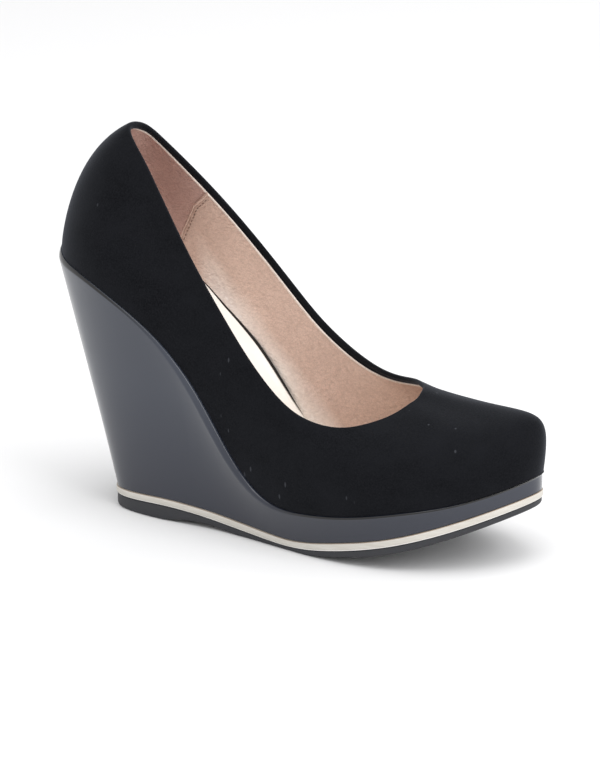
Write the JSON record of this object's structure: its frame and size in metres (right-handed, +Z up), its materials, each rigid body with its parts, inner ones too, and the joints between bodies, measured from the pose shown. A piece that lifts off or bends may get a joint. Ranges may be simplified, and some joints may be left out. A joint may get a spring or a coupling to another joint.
{
  "type": "wedge pump",
  "caption": "Closed slip-on pump with a suede upper on a covered wedge heel and platform, with a cream stripe over a rubber outsole.",
  "frame": {"origin": "middle of the shoe's bounding box in plan, on the floor it stands on", "axes": "+X towards the toe, +Y towards the inner side of the foot, +Z up"},
  "size_m": [0.2298, 0.0798, 0.1687],
  "materials": {
    "rubber": "matt black moulded rubber",
    "cream": "cream foam rubber layer, semi-matt",
    "patent": "black patent cover, high gloss",
    "sock": "pale smooth leather sock",
    "suede": "black suede outside, rose gold metallic leather lining inside"
  },
  "bodies": {
    "root": {"outsole": "rubber", "stripe": "cream", "wedge": "patent", "insole": "sock", "upper": "suede"}
  },
  "joints": []
}
